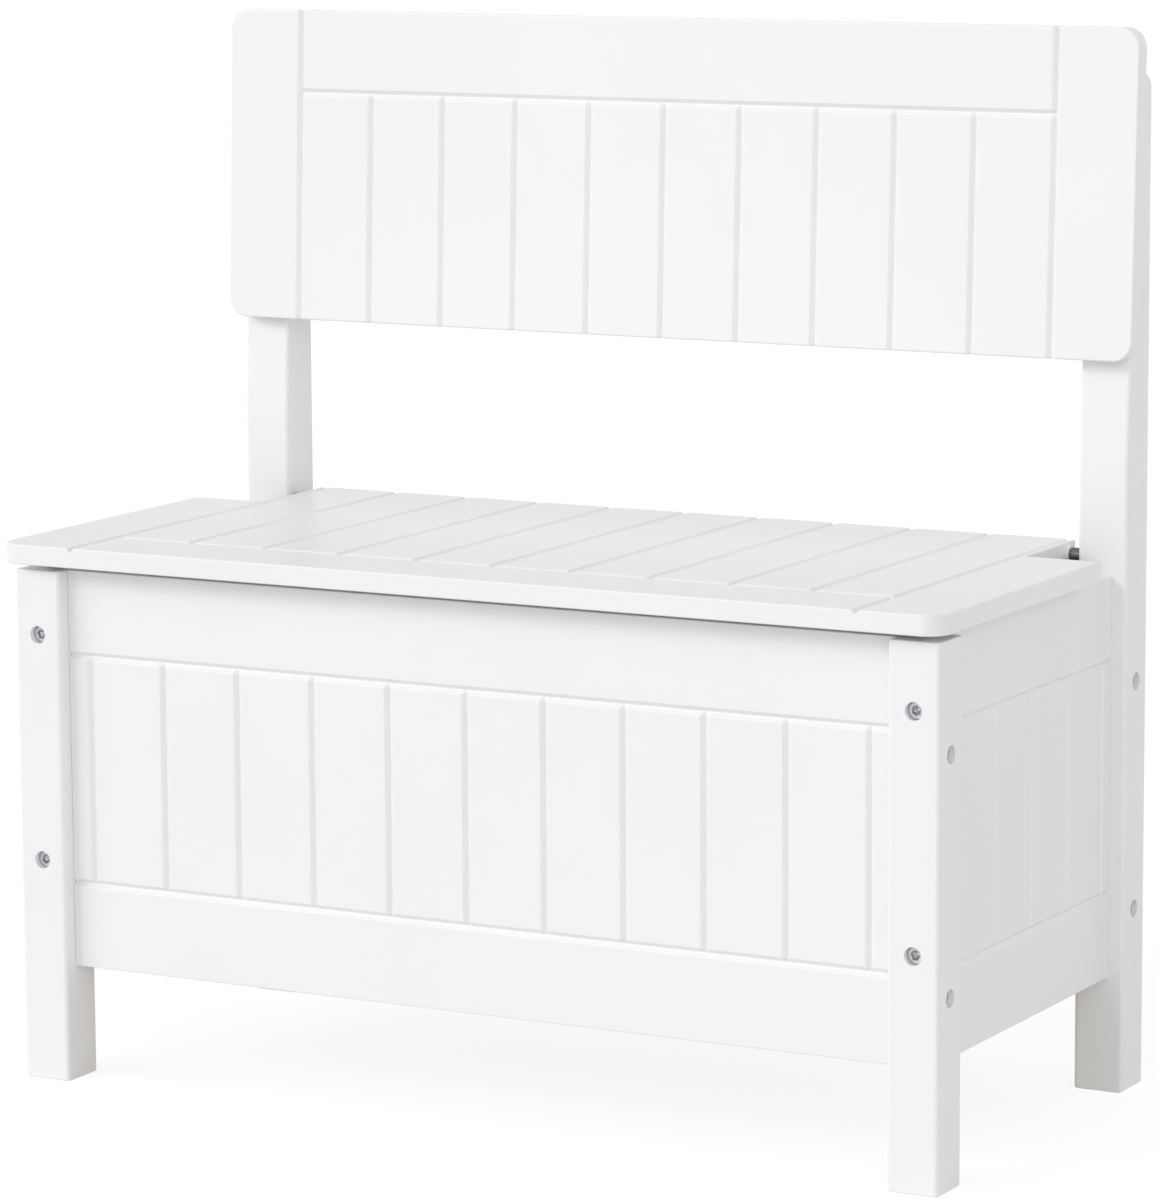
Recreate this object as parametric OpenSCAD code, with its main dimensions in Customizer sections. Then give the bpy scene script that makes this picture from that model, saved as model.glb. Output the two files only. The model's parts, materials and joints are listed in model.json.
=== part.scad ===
// Child's storage bench: four posts, four bolted panels, a grooved lid that hinges
// between the rear posts, and a grooved backrest screwed to their leaning fronts.
// Millimetres, +Z up, front towards -Y. The origin is on the floor, under the
// middle of the bench's outer box.

/* [Overall] */
// Width over the outer faces of the legs
body_w = 600; // [520:10:680]
// Depth from the front legs' front faces to the rear posts' rear faces
body_d = 290; // [270:10:340]
// Height of the seat's top face
seat_h = 324; // [300:2:360]
// Height of the top of the backrest
total_h = 625; // [590:5:700]

/* [Legs and posts] */
// Side of the square leg and post section
leg = 31; // [28:1:36]
// Rounding of the front legs' upright edges
leg_edge_r = 2.5; // [1:0.5:4]
// Height of the rear posts, which end behind the backrest
post_h = 597; // [560:1:610]
// Height where the front faces of the rear posts begin to lean back
bend_h = 375; // [350:5:410]
// Lean of the backrest and of the posts' upper front faces, in degrees
lean = 2.5; // [1:0.5:4]
// Rounding of the rear posts' top rear corner
post_top_r = 8; // [4:1:10]

/* [Panels] */
// Thickness of the front, back and side panels
panel_t = 12; // [10:0.5:15]
// Height of the panels' bottom edges above the floor
panel_z = 69; // [50:1:90]
// Air between the lid and the tops of the legs and panels
lid_gap = 4.5; // [3:0.5:8]
// How much lower the back panel ends, so that the lid's rear edge can turn above it
back_drop = 7; // [6:0.5:12]

/* [Grooves] */
// Width of a slat between two grooves
slat_w = 50.8; // [40:0.2:60]
// Width of the plain border above, below and in front of the slats
border_w = 50.8; // [35:0.2:60]
// Least width of the plain strip beside the outermost slats of a panel
edge_strip = 10; // [8:1:16]
// Width of a V-groove at the surface
groove_w = 5; // [3:0.25:6]
// Depth of a V-groove
groove_h = 2.3; // [1.5:0.1:2.5]

/* [Lid] */
// Width of the lid
lid_w = 610; // [600:2:640]
// Thickness of the lid
lid_t = 12; // [11:0.5:15]
// How far the lid stands out in front of the front legs
lid_over = 10; // [5:1:20]
// Rounding of the lid's front corners
lid_corner_r = 14; // [6:1:24]
// Rounding of the lid's rear corners
lid_rear_r = 2; // [1:0.5:3]
// Gap between the lid's wings and the fronts of the rear posts
wing_gap = 51; // [40:1:80]
// Gap between each end of the lid's tongue and the rear post beside it
tongue_gap = 11; // [8:0.5:12]
// Distance from the lid's rear edge to the rear posts' rear faces
lid_back_inset = 8; // [7:0.5:12]
// How far the lid opens, in degrees
lid_open_angle = 70; // [50:1:72]

/* [Backrest] */
// Width of the backrest
backrest_w = 610; // [600:2:640]
// Thickness of the backrest
backrest_t = 12; // [10:0.5:15]
// Height of the backrest's lower edge above the floor
backrest_z = 433; // [420:1:460]
// Rounding of the backrest's corners
backrest_corner_r = 12; // [6:1:20]
// Heights of the screws above the backrest's lower edge
backrest_screw_low = 35; // [25:1:60]
// Distance of the upper screws from the posts' tops
backrest_screw_top = 35; // [25:1:60]

/* [Floor] */
// Thickness of the floor board
floor_t = 6; // [4:0.5:9]
// Width of the floor's cleats
cleat_w = 12; // [10:1:18]
// Height of the floor's cleats
cleat_h = 15; // [12:1:25]
// Height of the cleats above the panels' bottom edges
cleat_lift = 3; // [0:1:15]
// Length of the cleats
cleat_len = 480; // [380:10:500]
// Gap between the floor board and the walls around it
floor_gap = 1; // [0.5:0.5:3]

/* [Frame bolts] */
// Diameter of the bolts that join legs and panels
bolt_d = 6; // [5:0.5:6]
// Diameter of a bolt's head
bolt_head_d = 10; // [9:0.5:12]
// Height of a bolt's head
bolt_head_h = 6; // [4:0.5:7]
// Depth of a bolt's head below the leg's face
bolt_sink = 3.5; // [1:0.5:5]
// Hexagon of a bolt's socket, across the flats
socket_af = 5; // [4:0.5:6]
// Depth of a bolt's socket
socket_h = 3; // [2:0.5:4]
// Radial room around a bolt's head
head_room = 0.2; // [0.2:0.1:1]
// Radial room around a bolt's shank
shank_room = 0.3; // [0.2:0.1:0.6]
// Length of a bolt's end beyond the middle of its nut
bolt_end = 9; // [6:0.5:12]
// Upper bolts into the side panels, above the floor
side_bolt_top = 269; // [262:1:280]
// Lower bolts into the side panels, above the floor
side_bolt_low = 133.5; // [127:0.5:160]
// How much lower the bolts into the front and back panels sit
bolt_step = 25; // [18:1:28]

/* [Nuts and dowels] */
// Diameter of the barrel nuts
nut_d = 10; // [9:0.5:12]
// Depth of a barrel nut's middle in the panel's end
nut_set = 26; // [20:1:32]
// Wood left between a nut's hole and the panel's outer face
nut_skin = 1; // [0.5:0.5:2]
// Depth of a barrel nut below the panel's inner face
nut_sink = 0.5; // [0:0.5:1]
// Width and depth of the slot in a barrel nut's end
nut_slot = 1.2; // [0.8:0.1:2]
// Diameter of the dowels
dowel_d = 6; // [5:0.5:8]
// Length of the dowels
dowel_len = 30; // [24:1:35]
// Depth of a dowel in its leg
dowel_set = 10; // [8:1:14]

/* [Lid hinge] */
// Depth of the hinge axis behind the rear posts' front faces
hinge_in = 8; // [7:0.5:12]
// Height of the hinge axis below the middle of the lid's thickness
hinge_low = 1; // [0.5:0.25:1.25]
// Diameter of the hinge pins
pin_d = 6; // [4:0.5:6]
// Depth of a hinge pin in its post
pin_set = 18; // [12:1:20]
// Depth of a hinge pin in the lid's tongue
pin_reach = 24; // [16:1:30]
// Radial running clearance of a hinge pin in its bush
pin_play = 0.05; // [0.02:0.01:0.08]
// Wall of a hinge bush inside the tongue
bush_wall = 0.8; // [0.6:0.1:1]
// Diameter of a hinge bush's collar
collar_d = 11; // [10:0.5:12]
// Thickness of a hinge bush's collar
collar_t = 3.5; // [2:0.5:5]
// Diameter of a hinge pin's shoulder between the post and the collar
shoulder_d = 9; // [8:0.5:11]
// Air between a pin's shoulder and the collar
collar_play = 0.4; // [0.2:0.1:0.8]

/* [Lid stays] */
// Distance of both stay pivots from the hinge axis
stay_r = 105; // [90:1:115]
// Height of the lid-side pivot below the lid
stay_drop = 9; // [8:0.5:12]
// Angle between the two pivots, seen from the hinge, in degrees
stay_lag = 26; // [22:1:32]
// Width of a stay's arm
arm_w = 14; // [12:0.5:16]
// Thickness of a stay's arm
arm_t = 2; // [1.5:0.5:2.5]
// Diameter of the stud that the arm's slot slides on
stud_d = 6; // [5:0.5:6]
// Diameter of the stud's head
stud_head_d = 11; // [10:0.5:13]
// Thickness of the stud's head
stud_head_t = 3; // [2:0.5:4]
// Diameter of the stud's wood thread
stud_thread_d = 4.4; // [3:0.2:5]
// Depth of the stud's wood thread in the side panel
stud_set = 8.5; // [6:0.5:9]
// Thickness of the washer between the arm and the side panel
washer_t = 1.7; // [1.5:0.1:3]
// Side clearance between the sliding parts of a stay
stay_play = 0.3; // [0.2:0.05:0.5]
// Diameter of the rivet that joins arm and bracket
rivet_d = 4; // [3:0.5:5]
// Radial running clearance of the rivet in the arm
rivet_play = 0.05; // [0.02:0.01:0.08]
// Diameter of the rivet's heads
rivet_head_d = 7.2; // [6:0.2:9]
// Thickness of the rivet's heads
rivet_head_t = 1; // [0.6:0.1:1.2]
// Thickness of the lid bracket's sheet
bracket_t = 2; // [1.5:0.5:3]
// Width of the lid bracket's foot, towards the middle of the lid
bracket_w = 18; // [14:1:24]
// Length of the lid bracket's foot
bracket_len = 36; // [30:1:44]
// Distance of the bracket's screw heads from the inner edge of its foot
bracket_edge = 2; // [1:0.5:3]

/* [Screws and pads] */
// Shank diameter of the backrest's screws
long_screw_d = 4.5; // [3.5:0.5:5]
// Head diameter of the backrest's screws
long_head_d = 8.5; // [7:0.5:9]
// Length of the backrest's screws
long_screw_len = 28; // [26:1:30]
// Depth of the backrest's screws in the board
long_screw_bite = 9; // [7:0.5:9]
// Shank diameter of the small screws
short_screw_d = 3; // [2.5:0.5:3.5]
// Head diameter of the small screws
short_head_d = 6; // [5:0.5:7]
// Depth of a cleat screw in its panel
cleat_screw_bite = 8; // [5:0.5:9]
// Depth of a bracket screw in the lid
lid_screw_bite = 7; // [5:0.5:8]
// Number of screws in each cleat
cleat_screws = 4; // [2:1:6]
// Diameter of the pads that the lid closes on
pad_d = 9; // [6:1:10]
// Distance of the front pads behind the front legs' faces
front_pad_in = 20; // [12:1:22]
// Distance of the rear pads in front of the wings' rear edges
rear_pad_in = 18; // [8:1:30]

/* [Hidden] */
$fn = 48;

paint = [0.95, 0.95, 0.94];
raw_wood = [0.80, 0.66, 0.48];
steel = [0.72, 0.73, 0.75];
nylon = [0.90, 0.90, 0.88];
soft_pad = [0.78, 0.78, 0.77];

// Extra length of a cutting tool past the surface that it cuts
over = 1;

// Room between a hinge pin's end and the end of its bush
pin_end_room = 1;

// Length and width of a screw's cross recess, as shares of the head's diameter
recess_len = 0.5;
recess_w = 0.12;

// Places along the depth
y_rear = (body_d + lid_over) / 2;
y_leg = y_rear - body_d;
y_post = y_rear - leg;
y_lid_front = y_leg - lid_over;
y_lid_back = y_rear - lid_back_inset;
y_wing = y_post - wing_gap;

// Places along the width, for the right side
x_out = body_w / 2;
x_leg = x_out - leg / 2;
x_clear = x_out - leg;
x_panel = x_leg - panel_t / 2;
x_tongue = x_clear - tongue_gap;

// Heights
leg_h = seat_h - lid_t - lid_gap;
lid_under = seat_h - lid_t;
back_panel_h = leg_h - back_drop;
floor_z = panel_z + cleat_lift + cleat_h;
dowel_z = (side_bolt_top + side_bolt_low) / 2;

// Slats
front_len = 2 * x_clear;
side_len = body_d - 2 * leg;
front_slats = floor((front_len - 2 * edge_strip) / slat_w);
side_slats = floor((side_len - 2 * edge_strip) / slat_w);

// Hinge axis, along X
y_hinge = y_post + hinge_in;
z_hinge = seat_h - lid_t / 2 - hinge_low;
bush_d = pin_d + 2 * pin_play + 2 * bush_wall;

// Stay pivots: both lie stay_r from the hinge axis, so the arm turns half as far as the lid
lid_pivot_a = asin((z_hinge - lid_under + stay_drop) / stay_r);
stud_a = lid_pivot_a + stay_lag;
y_rivet = y_hinge - stay_r * cos(lid_pivot_a);
z_rivet = z_hinge - stay_r * sin(lid_pivot_a);
y_stud = y_hinge - stay_r * cos(stud_a);
z_stud = z_hinge - stay_r * sin(stud_a);
arm_a = atan2(z_stud - z_rivet, y_stud - y_rivet);
slot_near = 2 * stay_r * sin(stay_lag / 2);
slot_far = 2 * stay_r * sin((stay_lag + lid_open_angle) / 2);
slot_w = stud_d + stay_play;
arm_len = slot_far + arm_w / 2;

// Layers of a stay, from the side panel's inner face towards the middle
x_arm = x_panel - washer_t - stay_play - arm_t;
x_ear = x_arm - stay_play - bracket_t;

// Depth of a post's front face at height z
function post_front(z) = y_post + max(0, z - bend_h) * tan(lean);

// Length of the backrest board along its own lean
backrest_len = (total_h - backrest_z - backrest_t * sin(lean)) / cos(lean);
backrest_screw_z = [backrest_screw_low, (post_h - backrest_screw_top - backrest_z) / cos(lean)];

// A rectangle about the origin with rounded corners
module round_rect(w, d, r) {
    square([w - 2 * r, d], center = true);
    square([w, d - 2 * r], center = true);
    for (x = [-1, 1], y = [-1, 1])
        translate([x * (w / 2 - r), y * (d / 2 - r)]) circle(r);
}

// Draws a Y-Z outline w thick, centred on the plane X = x
module sheet_yz(x, w) {
    translate([x - w / 2, 0, 0]) rotate([90, 0, 90]) linear_extrude(w) children();
}

// Cutter for a V-groove of a given length along X, cut down from the plane Z = 0
module groove(len) {
    half = groove_w / 2 * (1 + over / groove_h);
    rotate([90, 0, 90]) linear_extrude(len, center = true)
        polygon([[0, -groove_h], [half, over], [-half, over]]);
}

// Cutter for a field of slats on the plane Z = 0: len along X, between y0 and y1
module slat_grooves(count, y0, y1) {
    for (i = [0 : count])
        translate([(i - count / 2) * slat_w, (y0 + y1) / 2, 0]) rotate([0, 0, 90]) groove(y1 - y0);
}

// Stands a face drawn on Z = 0 upright, so that it looks towards -Y at depth y
module upright(y) {
    translate([0, y, 0]) rotate([90, 0, 0]) children();
}

// Grooves of a panel that looks towards -Y at depth y
module panel_grooves(len, count, y) {
    low = panel_z + border_w;
    high = leg_h - border_w;
    upright(y) {
        slat_grooves(count, low, high);
        for (z = [low, high]) translate([0, z, 0]) groove(len + 2 * over);
    }
}

// Places for the bolts of one corner. Children are drawn with +Z pointing into
// the bench from the leg's outer face, and +X towards the inside of the box.
module corner_bolts(sx, sy) {
    for (z = [side_bolt_low, side_bolt_top])
        side_place(sx, sy, z) children();
    for (z = [side_bolt_low, side_bolt_top])
        end_place(sx, sy, z - bolt_step) children();
}

// Places for the dowels of one corner, between the bolts
module corner_dowels(sx, sy) {
    side_place(sx, sy, dowel_z) children();
    end_place(sx, sy, dowel_z - bolt_step) children();
}

// A place on the leg's front or rear face, in line with the side panel
module side_place(sx, sy, z) {
    translate([sx * x_leg, sy < 0 ? y_leg : y_rear, z]) rotate([sy * 90, 0, 0])
        rotate([0, 0, sx > 0 ? 180 : 0]) children();
}

// A place on the leg's outer face, in line with the front or back panel
module end_place(sx, sy, z) {
    translate([sx * x_out, sy < 0 ? y_leg + leg / 2 : y_rear - leg / 2, z]) rotate([0, -sx * 90, 0])
        rotate([0, 0, -sy * 90]) children();
}

module bolt_hole() {
    seat = bolt_sink + bolt_head_h;
    translate([0, 0, -over]) cylinder(d = bolt_head_d + 2 * head_room, h = seat + over);
    cylinder(d = bolt_d + 2 * shank_room, h = leg + nut_set + bolt_end + over);
}

module nut_hole() {
    translate([nut_skin - panel_t / 2, 0, leg + nut_set]) rotate([0, 90, 0])
        cylinder(d = nut_d, h = panel_t - nut_skin + over);
}

module dowel_hole() {
    translate([0, 0, leg - dowel_set]) cylinder(d = dowel_d, h = dowel_len);
}

module frame_bolt() {
    difference() {
        translate([0, 0, bolt_sink]) cylinder(d = bolt_head_d, h = bolt_head_h);
        translate([0, 0, bolt_sink - over])
            cylinder(d = socket_af / cos(30), h = socket_h + over, $fn = 6);
    }
    translate([0, 0, bolt_sink + bolt_head_h])
        cylinder(d = bolt_d, h = leg + nut_set + bolt_end - bolt_sink - bolt_head_h);
}

module barrel_nut() {
    len = panel_t - nut_skin - nut_sink;
    difference() {
        translate([nut_skin - panel_t / 2, 0, leg + nut_set]) rotate([0, 90, 0]) cylinder(d = nut_d, h = len);
        translate([0, 0, leg + nut_set - nut_d]) cylinder(d = bolt_d, h = 2 * nut_d);
        translate([panel_t / 2 - nut_sink - nut_slot, -nut_slot / 2, leg + nut_set - nut_d])
            cube([nut_slot + over, nut_slot, 2 * nut_d]);
    }
}

// A wood screw along +Z: the top of its head is on Z = 0
module wood_screw(d, head_d, len) {
    head_h = (head_d - d) / 2;
    difference() {
        union() {
            cylinder(d1 = head_d, d2 = d, h = head_h);
            cylinder(d = d, h = len - d);
            translate([0, 0, len - d]) cylinder(d1 = d, d2 = d / 4, h = d);
        }
        for (a = [0, 90]) rotate([0, 0, a])
            cube([head_d * recess_len, head_d * recess_w, head_h], center = true);
    }
}

// Hole that a wood screw fills, with a mouth that is open for `open` above its head
module screw_hole(d, head_d, len, open) {
    head_h = (head_d - d) / 2;
    translate([0, 0, -open]) cylinder(d = head_d, h = open);
    cylinder(d1 = head_d, d2 = d, h = head_h);
    cylinder(d = d, h = len - d);
    translate([0, 0, len - d]) cylinder(d1 = d, d2 = d / 4, h = d);
}

// Moves children into the backrest's own frame: Z up along the board, back on Y = 0
module on_backrest() {
    translate([0, post_front(backrest_z), backrest_z]) rotate([-lean, 0, 0]) children();
}

// Places for the backrest's screws, with +Z pointing forward through the board
module backrest_screw_places(sides) {
    for (sx = sides, z = backrest_screw_z)
        on_backrest() translate([sx * x_leg, long_screw_len - long_screw_bite, z]) rotate([90, 0, 0]) children();
}

module front_leg(sx) {
    color(paint) difference() {
        translate([sx * x_leg, y_leg + leg / 2, 0]) linear_extrude(leg_h) round_rect(leg, leg, leg_edge_r);
        corner_bolts(sx, -1) bolt_hole();
        corner_dowels(sx, -1) dowel_hole();
    }
}

module rear_post(sx) {
    y_top = post_front(post_h);
    color(paint) difference() {
        sheet_yz(sx * x_leg, leg) {
            polygon([
                [y_post, 0], [y_rear, 0], [y_rear, post_h - post_top_r],
                [y_rear - post_top_r, post_h - post_top_r], [y_rear - post_top_r, post_h],
                [y_top, post_h], [post_front(bend_h), bend_h]
            ]);
            translate([y_rear - post_top_r, post_h - post_top_r]) circle(post_top_r);
        }
        corner_bolts(sx, 1) bolt_hole();
        corner_dowels(sx, 1) dowel_hole();
        backrest_screw_places([sx]) screw_hole(long_screw_d, long_head_d, long_screw_len, leg);
        translate([sx * x_clear, y_hinge, z_hinge]) rotate([0, sx * 90, 0])
            translate([0, 0, -over]) cylinder(d = pin_d, h = pin_set + over);
    }
}

// The front or back panel: h is the height of its top edge
module end_panel(sy, h) {
    y = sy < 0 ? y_leg + leg / 2 : y_rear - leg / 2;
    difference() {
        translate([-x_clear, y - panel_t / 2, panel_z]) cube([front_len, panel_t, h - panel_z]);
        for (sx = [-1, 1]) {
            corner_bolts(sx, sy) bolt_hole();
            corner_bolts(sx, sy) nut_hole();
            corner_dowels(sx, sy) dowel_hole();
        }
        cleat_screw_places(sy) screw_hole(short_screw_d, short_head_d, cleat_w + cleat_screw_bite, over);
    }
}

module front_panel() {
    color(paint) difference() {
        end_panel(-1, leg_h);
        panel_grooves(front_len, front_slats, y_leg + leg / 2 - panel_t / 2);
    }
}

module back_panel() {
    color(paint) end_panel(1, back_panel_h);
}

module side_panel(sx) {
    y_mid = (y_leg + y_rear) / 2;
    color(paint) difference() {
        translate([sx * x_leg - panel_t / 2, y_leg + leg, panel_z]) cube([panel_t, side_len, leg_h - panel_z]);
        translate([0, y_mid, 0]) rotate([0, 0, sx * 90])
            panel_grooves(side_len, side_slats, -x_leg - panel_t / 2);
        for (sy = [-1, 1]) {
            corner_bolts(sx, sy) bolt_hole();
            corner_bolts(sx, sy) nut_hole();
            corner_dowels(sx, sy) dowel_hole();
        }
        translate([sx * x_panel, y_stud, z_stud]) rotate([0, sx * 90, 0])
            translate([0, 0, -over]) cylinder(d = stud_thread_d, h = stud_set + over);
    }
}

// The floor board is notched round the legs that stand inside the panels
module floor_board() {
    y0 = y_leg + leg / 2 + panel_t / 2 + floor_gap;
    y1 = y_rear - leg / 2 - panel_t / 2 - floor_gap;
    x1 = x_panel - floor_gap;
    notch_x = x_clear - floor_gap;
    color(raw_wood) translate([0, 0, floor_z]) linear_extrude(floor_t) {
        translate([-notch_x, y0]) square([2 * notch_x, y1 - y0]);
        translate([-x1, y_leg + leg + floor_gap]) square([2 * x1, side_len - 2 * floor_gap]);
    }
}

// A cleat lies on the inner face of the front or back panel
module cleat(sy) {
    y_face = sy < 0 ? y_leg + leg / 2 + panel_t / 2 : y_rear - leg / 2 - panel_t / 2 - cleat_w;
    color(raw_wood) difference() {
        translate([-cleat_len / 2, y_face, panel_z + cleat_lift]) cube([cleat_len, cleat_w, cleat_h]);
        cleat_screw_places(sy) screw_hole(short_screw_d, short_head_d, cleat_w + cleat_screw_bite, over);
    }
}

// Places for the cleats' screws, with +Z pointing out through the panel
module cleat_screw_places(sy) {
    y_in = sy < 0 ? y_leg + leg / 2 + panel_t / 2 + cleat_w : y_rear - leg / 2 - panel_t / 2 - cleat_w;
    step = cleat_len / cleat_screws;
    for (i = [0 : cleat_screws - 1])
        translate([(i + 0.5) * step - cleat_len / 2, y_in, panel_z + cleat_lift + cleat_h / 2])
            rotate([-sy * 90, 0, 0]) children();
}

module backrest() {
    r = backrest_corner_r;
    cross_z = backrest_len - border_w;
    x_field = front_slats * slat_w;
    color(paint) difference() {
        on_backrest() difference() {
            translate([0, 0, backrest_len / 2]) rotate([90, 0, 0]) linear_extrude(backrest_t)
                round_rect(backrest_w, backrest_len, r);
            upright(-backrest_t) {
                slat_grooves(front_slats, -over, cross_z);
                for (x = [-x_field / 2, x_field / 2])
                    translate([x, backrest_len / 2, 0]) rotate([0, 0, 90]) groove(backrest_len + 2 * over);
                translate([0, cross_z, 0]) groove(x_field);
            }
        }
        backrest_screw_places([-1, 1]) screw_hole(long_screw_d, long_head_d, long_screw_len, over);
    }
}

// The lid seen from above: a front board with rounded corners, and the tongue behind it
module lid_outline() {
    r = lid_corner_r;
    q = lid_rear_r;
    translate([-lid_w / 2, y_lid_front + r]) square([lid_w, y_wing - y_lid_front - r - q]);
    translate([-lid_w / 2 + r, y_lid_front]) square([lid_w - 2 * r, 2 * r]);
    translate([-lid_w / 2 + q, y_wing - 2 * q]) square([lid_w - 2 * q, 2 * q]);
    translate([-x_tongue, y_wing - leg]) square([2 * x_tongue, y_lid_back - y_wing + leg - q]);
    translate([-x_tongue + q, y_lid_back - 2 * q]) square([2 * (x_tongue - q), 2 * q]);
    for (sx = [-1, 1]) {
        translate([sx * (lid_w / 2 - r), y_lid_front + r]) circle(r);
        translate([sx * (lid_w / 2 - q), y_wing - q]) circle(q);
        translate([sx * (x_tongue - q), y_lid_back - q]) circle(q);
    }
}

module lid() {
    x_field = front_slats * slat_w;
    y_cross = y_lid_front + border_w;
    depth = y_lid_back - y_lid_front;
    color(paint) difference() {
        translate([0, 0, lid_under]) linear_extrude(lid_t) lid_outline();
        translate([0, 0, seat_h]) {
            slat_grooves(front_slats, y_cross, y_lid_back + over);
            for (x = [-x_field / 2, x_field / 2])
                translate([x, y_lid_front + depth / 2, 0]) rotate([0, 0, 90]) groove(depth + 2 * over);
            translate([0, y_cross, 0]) groove(x_field);
        }
        for (sx = [-1, 1]) {
            translate([sx * x_tongue, y_hinge, z_hinge]) rotate([0, -sx * 90, 0])
                translate([0, 0, -over]) cylinder(d = bush_d, h = pin_reach + over);
            bracket_screw_places(sx)
                screw_hole(short_screw_d, short_head_d, bracket_t + lid_screw_bite, over);
        }
    }
}

// A pin stands in the post, and its end beyond the shoulder turns in the tongue's bush
module hinge_pin(sx) {
    color(steel) translate([sx * (x_clear + pin_set), y_hinge, z_hinge]) rotate([0, -sx * 90, 0])
        union() {
            cylinder(d = pin_d, h = pin_set + tongue_gap + pin_reach - pin_end_room);
            translate([0, 0, pin_set]) cylinder(d = shoulder_d, h = tongue_gap - collar_t - collar_play);
        }
}

// A bush is pressed into the tongue's end, and its collar lies on the tongue's side
module hinge_bush(sx) {
    color(nylon) translate([sx * x_tongue, y_hinge, z_hinge]) rotate([0, -sx * 90, 0]) difference() {
        union() {
            cylinder(d = bush_d, h = pin_reach);
            translate([0, 0, -collar_t]) cylinder(d = collar_d, h = collar_t);
        }
        translate([0, 0, -collar_t - over]) cylinder(d = pin_d + 2 * pin_play, h = collar_t + pin_reach + 2 * over);
    }
}

// The slotted arm hangs from the lid's bracket and slides on the side panel's stud
module stay_arm(sx) {
    color(steel) sheet_yz(sx * (x_arm + arm_t / 2), arm_t) translate([y_rivet, z_rivet]) rotate(arm_a)
        difference() {
            union() {
                circle(d = arm_w);
                translate([0, -arm_w / 2]) square([arm_len, arm_w]);
                translate([arm_len, 0]) circle(d = arm_w);
            }
            circle(d = rivet_d + 2 * rivet_play);
            translate([slot_near, 0]) circle(d = slot_w);
            translate([slot_near, -slot_w / 2]) square([slot_far - slot_near, slot_w]);
            translate([slot_far, 0]) circle(d = slot_w);
        }
}

// An angle of sheet: its foot is under the lid, and its ear carries the rivet
module stay_bracket(sx) {
    ear_r = arm_w / 2;
    color(steel) difference() {
        union() {
            translate([sx > 0 ? x_ear + bracket_t - bracket_w : -x_ear - bracket_t, y_rivet - bracket_len / 2, lid_under - bracket_t])
                cube([bracket_w, bracket_len, bracket_t]);
            sheet_yz(sx * (x_ear + bracket_t / 2), bracket_t) {
                translate([y_rivet, z_rivet]) circle(ear_r);
                translate([y_rivet - ear_r, z_rivet]) square([2 * ear_r, lid_under - z_rivet]);
            }
        }
        translate([sx * x_ear, y_rivet, z_rivet]) rotate([0, 90, 0]) cylinder(d = rivet_d, h = 4 * bracket_t, center = true);
        bracket_screw_places(sx) screw_hole(short_screw_d, short_head_d, bracket_t + lid_screw_bite, over);
    }
}

// Places for the bracket's two screws, with +Z pointing up into the lid
module bracket_screw_places(sx) {
    x = sx * (x_ear + bracket_t - bracket_w + short_head_d / 2 + bracket_edge);
    for (s = [-1, 1])
        translate([x, y_rivet + s * (bracket_len / 2 - short_head_d), lid_under - bracket_t]) children();
}

module stay_rivet(sx) {
    len = x_arm + arm_t + stay_play - x_ear;
    color(steel) translate([sx * x_ear, y_rivet, z_rivet]) rotate([0, sx * 90, 0]) {
        translate([0, 0, -rivet_head_t]) cylinder(d = rivet_head_d, h = rivet_head_t);
        cylinder(d = rivet_d, h = len);
        translate([0, 0, len]) cylinder(d = rivet_head_d, h = rivet_head_t);
    }
}

// A shoulder stud, screwed into the side panel: the arm slides under its head
module stay_stud(sx) {
    x_head = x_arm - stay_play - stud_head_t;
    shank = x_panel - x_arm + stay_play;
    color(steel) translate([sx * x_head, y_stud, z_stud]) rotate([0, sx * 90, 0]) {
        cylinder(d = stud_head_d, h = stud_head_t);
        translate([0, 0, stud_head_t]) cylinder(d = stud_d, h = shank);
        translate([0, 0, stud_head_t + shank]) cylinder(d = stud_thread_d, h = stud_set);
    }
}

module stay_washer(sx) {
    color(nylon) translate([sx * x_panel, y_stud, z_stud]) rotate([0, -sx * 90, 0]) difference() {
        cylinder(d = arm_w, h = washer_t);
        translate([0, 0, -over]) cylinder(d = stud_d, h = washer_t + 2 * over);
    }
}

module frame_bolts() {
    color(steel) for (sx = [-1, 1], sy = [-1, 1]) corner_bolts(sx, sy) frame_bolt();
}

module barrel_nuts() {
    color(steel) for (sx = [-1, 1], sy = [-1, 1]) corner_bolts(sx, sy) barrel_nut();
}

module dowels() {
    color(raw_wood) for (sx = [-1, 1], sy = [-1, 1]) corner_dowels(sx, sy) dowel_hole();
}

module backrest_screws() {
    color(steel) backrest_screw_places([-1, 1]) wood_screw(long_screw_d, long_head_d, long_screw_len);
}

module cleat_screws() {
    color(steel) for (sy = [-1, 1])
        cleat_screw_places(sy) wood_screw(short_screw_d, short_head_d, cleat_w + cleat_screw_bite);
}

module bracket_screws() {
    color(steel) for (sx = [-1, 1])
        bracket_screw_places(sx) wood_screw(short_screw_d, short_head_d, bracket_t + lid_screw_bite);
}

// The lid closes on a pad on each front leg and one on each side panel
module lid_pads() {
    color(soft_pad) for (sx = [-1, 1], y = [y_leg + front_pad_in, y_wing - rear_pad_in])
        translate([sx * x_leg, y, leg_h]) cylinder(d = pad_d, h = lid_gap);
}

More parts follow.
